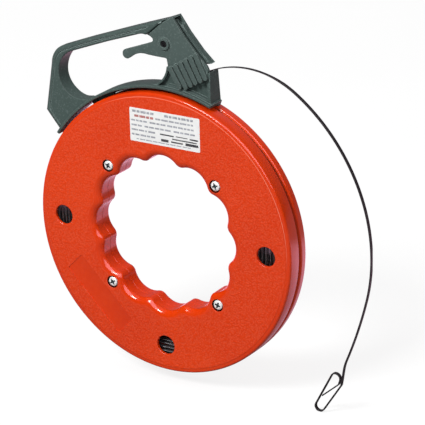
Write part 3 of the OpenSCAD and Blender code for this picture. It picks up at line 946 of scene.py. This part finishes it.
def foot(bm):
    """The web, curved wall and end wall below the head, and the strip and floor that the tape passes."""
    web = arc(FOOT_C, 19.6, 0, -80, 12) + [(44, 118), (60, 111.5), (74, 102.6), (79, 104), (83, 122)]
    web += [by_tape(-4, -0.7), by_tape(-27.6, -0.7), (53, 128), (51, 134), (49, 141)]
    plate(bm, web, 0.3, -2.9, CHANNEL_BACK + 0.5, steps=3)
    curved = arc(FOOT_C, FOOT_IN, -22, -90, 16) + arc(FOOT_C, FOOT_OUT, -84, -22, 14)
    plate(bm, curved, 0.45, -HANDLE_HALF, HANDLE_HALF, steps=3)
    wall = [WALL_TOP, (82.0, 122.7), (75.0, 100.2), (75.0, 97.6), WALL_FOOT]
    plate(bm, wall, 0.35, -HANDLE_HALF, HANDLE_HALF, steps=3)
    gusset = ((9.0, WALL_FOOT, (75.0, 98.0)), (HANDLE_HALF + 0.05, WALL_TOP, (82.2, 122.9)))
    rings = []
    for reach, p, q in gusset:
        (px, pz), (qx, qz) = leaned(p), leaned(q)
        rings.append([(px, HANDLE_HALF - 1, pz), (px, reach, pz), (qx, reach, qz), (qx, HANDLE_HALF - 1, qz)])
    for ring in ring_grid(bm, rings):
        bm.faces.new(ring)
    crest = arc((0, 0), CREST_OUT, 70.8, 53.6, 12) + arc((0, 0), CREST_IN, 53.2, 72.4, 12)
    plate(bm, crest, 0.4, -HANDLE_HALF, HANDLE_HALF, steps=3)
    floor = [by_tape(-1.4, -0.62), by_tape(-34, -0.62), by_tape(-34, -2.7), by_tape(-1.4, -2.7)]
    plate(bm, floor, 0.25, POCKET_Y, HANDLE_HALF, steps=3)


def saddle(bm):
    """The shoe over the rim, its rear skirt, and the guide rails inside the rim slot."""
    shoe = ring_part(SADDLE_IN, SADDLE_OUT, 90 + SADDLE_REACH, 90 - SADDLE_REACH, 60)
    plate(bm, shoe, 0.7, -SADDLE_HALF, SADDLE_HALF, steps=4)
    skirt = ring_part(SKIRT_IN, SKIRT_OUT, SKIRT_END, 90 - SADDLE_REACH, 56)
    plate(bm, skirt, 0.25, 5.0, SADDLE_HALF - 0.05, steps=2)
    for a0, a1 in RAIL_ENDS:
        neck = ring_part(NECK_IN, NECK_OUT, a0, a1, 12)
        plate(bm, neck, 0.2, SLOT_Y - NECK_HALF, SLOT_Y + NECK_HALF, steps=2)
        plate(bm, ring_part(RAIL_IN, RAIL_OUT, a0, a1, 12), 0.3, -RAIL_HALF, RAIL_HALF, steps=2)


def build_handle():
    bm = bmesh.new()
    grip(bm)
    head(bm)
    foot(bm)
    saddle(bm)
    lathe(bm, [(1.45, 0.5), (1.45, -3.3), (1.6, -3.4), (4.0, -3.4), (4.2, -3.2), (4.2, 0.5)], PIVOT)
    lathe(bm, [(0.9, 0.5), (0.9, -2.4), (0.7, -2.6), (0.02, -2.6)], PIVOT_PEG, 20, closed=False)
    return obj_from(bm, "handle_moulding", GREY)


ride(build_handle(), "handle", "handle_plastic", "handle_body")

# ---------------------------------------------------------------- brake lever and pad

LEVER_FRONT, LEVER_REAR = -6.6, -4.0
LUG_BACK = CHANNEL_BACK - 0.4
RIB_HALF, RIB_FRONT = 2.15, -8.8
RELEASE = 6


def released(s, n):
    """A point beside the tape, as the lever at rest holds it: the brake let go by its small turn."""
    return turned(by_tape(s, n), RELEASE, PIVOT)


def lever_boss(bm):
    """The collar round the pivot, as (radius, y) points."""
    profile = [(1.85, LEVER_REAR), (1.85, -5.7), (2.9, -5.7), (2.9, -7.95)]
    profile += arc((3.15, -7.95), 0.25, 180, 270, 3) + arc((4.5, -7.7), 0.5, 270, 360, 4)
    profile += [(5.0, -7.2)] + arc((5.8, -7.35), 0.8, 180, 90, 4)
    profile += [(5.8, -6.3), (3.6, -6.2), (3.6, LEVER_REAR)]
    lathe(bm, profile, PIVOT, 56)


def lever_ribs(bm):
    """Six raised ribs for the fingers, each with a round lower end."""
    w = RIB_HALF
    for i in range(6):
        top = (50.2 + 5.38 * i, 132.4 + 1.4 * i)
        low = (55.3 + 5.06 * i, 112.5 + 1.03 * i) if i else (54.7, 114.7)
        d = math.dist(top, low)
        down = math.degrees(math.atan2(low[1] - top[1], low[0] - top[0]))
        points = [(-1.2, 0.9), (-1.2, -0.9)] + dense([(0.2, -w), (d - w, -w)], 2.5)
        points += arc((d - w, 0), w, -80, 80, 10) + dense([(d - w, w), (0.2, w)], 2.5)
        standing = [turned((top[0] + x, top[1] + z), down, top) for x, z in points]
        plate(bm, standing, 0.4, RIB_FRONT, LEVER_FRONT + 0.3, steps=4, back=0.1)


def build_lever():
    bm = bmesh.new()
    body = [(38.4, 162.3), (40.3, 159), (40.3, 156.6), (38.6, 155.5), (33, 155.1), (27.3, 154.8), (21, 154.4)]
    body += arc((11.7, 150), 4, 86, 292, 20)
    body += [(18.9, 148.1), (22, 148.45), (25.1, 148.4), (28.6, 147.5), (32.1, 146), (40, 143.2)]
    body += [(47.2, 140.9), (48.3, 140.0), (48.1, 138.6), (47.3, 132.6), (52.8, 117.8), (56, 117.6)]
    body += [(80.3, 119.8), (84.2, 124.4), (84.3, 125.6), (83.7, 128.7), (77.4, 139.7), (70.1, 155.9)]
    body += [HEAD_TOP, (55.4, 169.6)]
    plate(bm, body, 0.55, LEVER_FRONT, LEVER_REAR, holes=[(arc(PIVOT, 3.4, 0, 354, 59), 0.05)], steps=4)
    lever_boss(bm)
    lever_ribs(bm)
    lug = [released(s, n) for s, n in box_points((-25, 2.6), (-12, 6.4))]
    plate(bm, lug, 0.3, LEVER_REAR - 0.3, LUG_BACK, steps=3)
    peg = [(0.9, LEVER_REAR - 0.3), (0.9, -0.8), (0.7, -0.6), (0.02, -0.6)]
    lathe(bm, peg, LEVER_PEG, 20, closed=False)
    return obj_from(bm, "brake_lever_moulding", GREY_LEVER)


def build_pad():
    bm = bmesh.new()
    block = [released(s, n) for s, n in box_points((-25.6, 0.35), (-11.4, 2.55))]
    plate(bm, block, 0.3, -3.6, LUG_BACK, steps=3)
    return obj_from(bm, "brake_pad_block", RUBBER)


ride(build_lever(), "lever", "lever_plastic", "brake_lever")
ride(build_pad(), "lever", "pad_rubber", "brake_pad")

# ---------------------------------------------------------------- small CAD pieces keep their own solids

for node, material in (("tape_anchor", CLIP), ("anchor_screw", ZINC), ("pivot_screw", BLACK),
                       ("pivot_washer", NYLON), ("lever_spring", CLIP)):
    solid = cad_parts[node]
    solid.data.materials.clear()
    solid.data.materials.append(material)
    edge = solid.modifiers.new("edge", "BEVEL")
    edge.width = 0.08 * MM
    edge.limit_method = "ANGLE"

# ---------------------------------------------------------------- stage, light and camera

FLOOR_HALF = 30
FLOOR_GAP = 0.0006
FLOOR_DIM_Y, FLOOR_BRIGHT_Y = 0.03, 0.26
FLOOR_FADE_Y, FLOOR_FAR_Y = 0.38, 0.50


def floor_material():
    """Pale to the camera. Glossy rays find it bright in a band behind the reel and dim elsewhere."""
    n = Surface("studio_floor")
    colour = n.mix(n.ramp(n.noise(1.5, 2), 0.3, 0.7), rgba(0.24, 0.24, 0.24), rgba(0.22, 0.22, 0.22))
    n.set(Base_Color=colour, Roughness=0.7, Specular_IOR_Level=0.0)
    y = n.xyz()["Y"]
    rise = n.ramp(y, FLOOR_DIM_Y, FLOOR_BRIGHT_Y, 0.0, 1.7)
    mirrored = n.product(rise, n.ramp(y, FLOOR_FADE_Y, FLOOR_FAR_Y, 1.0, 0.12))
    level = n.math("ADD", n.product(n.ray("Is Camera Ray"), 0.80),
                   n.product(n.ray("Is Glossy Ray"), mirrored))
    tint = n.mix(n.ray("Is Camera Ray"), rgba(1.0, 0.50, 0.72), rgba(1, 1, 1))
    n.set(Emission_Color=tint, Emission_Strength=level)
    return n.m


def build_floor():
    bm = bmesh.new()
    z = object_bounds()[0].z - FLOOR_GAP
    corners = box_points((-FLOOR_HALF, -FLOOR_HALF), (FLOOR_HALF, FLOOR_HALF))
    bm.faces.new([bm.verts.new((x, y, z)) for x, y in corners])
    obj_from(bm, "studio_floor", floor_material())


build_floor()


def build_world():
    """White to the camera. Glossy rays find a dark room with a pale back and ceiling; the rest get soft light
    that grows to the right and upward."""
    world = bpy.data.worlds.new("studio")
    scene.world = world
    world.use_nodes = True
    n = Nodes(world.node_tree, "Generated")
    x, y, z = n.xyz()
    soft = n.math("ADD", n.ramp(x, -0.7, 0.7, 0.10, 0.52), n.ramp(z, -0.1, 0.9, 0.05, 0.30))
    behind = n.product(n.ramp(y, 0.72, 0.82, 0.02, 1.0), n.ramp(x, -0.2, 0.35, 0.50, 0.12))
    mirrored = n.math("ADD", behind, n.ramp(z, 0.80, 0.95, 0.0, 0.8))
    glossy = n.ray("Is Glossy Ray")
    room = n.math("ADD", n.product(n.math("SUBTRACT", 1.0, glossy), soft), n.product(glossy, mirrored))
    seen = n.ray("Is Camera Ray")
    level = n.math("ADD", seen, n.product(n.math("SUBTRACT", 1.0, seen), room))
    back = n.t.nodes.new("ShaderNodeBackground")
    out = n.t.nodes.new("ShaderNodeOutputWorld")
    tint = n.product(glossy, n.ramp(y, 0.70, 0.78))
    n.link(n.mix(tint, rgba(1, 1, 1), rgba(1.0, 0.70, 0.90)), back.inputs["Color"])
    n.link(level, back.inputs["Strength"])
    n.link(back.outputs[0], out.inputs["Surface"])


build_world()


def area_light(name, at, aim, size, watts, colour=(1, 1, 1)):
    data = bpy.data.lights.new(name, "AREA")
    data.shape = "RECTANGLE"
    data.size, data.size_y = size
    data.energy = watts
    data.color = colour
    obj = bpy.data.objects.new(name, data)
    scene.collection.objects.link(obj)
    obj.location = at
    obj.rotation_mode = "QUATERNION"
    obj.rotation_quaternion = (Vector(aim) - Vector(at)).to_track_quat("-Z", "Y")
    return obj


LIT_POINT = (0.0, 0.0, 0.02)
area_light("key", (-0.35, -1.62, 1.60), LIT_POINT, (0.7, 0.7), 44)
gleam = area_light("gleam", (0.85, -1.30, 1.45), LIT_POINT, (2.2, 1.7), 62, (1.0, 0.72, 0.82))
gleam.visible_diffuse = False

AZIMUTH, ELEVATION, CAMERA_ROLL = 33.50, 21.44, -1.78
DISTANCE = 1.876
AIM_RIGHT, AIM_UP = 0.0339, 0.0145
LENS, SENSOR = 195.5, 36.0


def build_camera():
    """Looks from the front right and above, at a point a little off the reel's axis."""
    a, e, r = (math.radians(v) for v in (AZIMUTH, ELEVATION, CAMERA_ROLL))
    back = Vector((math.sin(a) * math.cos(e), -math.cos(a) * math.cos(e), math.sin(e)))
    level = Vector((math.cos(a), math.sin(a), 0))
    upward = back.cross(level)
    right = level * math.cos(r) + upward * math.sin(r)
    up = upward * math.cos(r) - level * math.sin(r)
    place = back * DISTANCE
    z_axis = (place - right * AIM_RIGHT - up * AIM_UP).normalized()
    x_axis = up.cross(z_axis).normalized()
    y_axis = z_axis.cross(x_axis)
    data = bpy.data.cameras.new("camera")
    data.sensor_width, data.lens = SENSOR, LENS
    data.clip_start, data.clip_end = 0.05, 60
    camera = bpy.data.objects.new("camera", data)
    scene.collection.objects.link(camera)
    camera.matrix_world = Matrix.Translation(place) @ Matrix((x_axis, y_axis, z_axis)).transposed().to_4x4()
    scene.camera = camera


build_camera()
scene.view_settings.view_transform = "Standard"
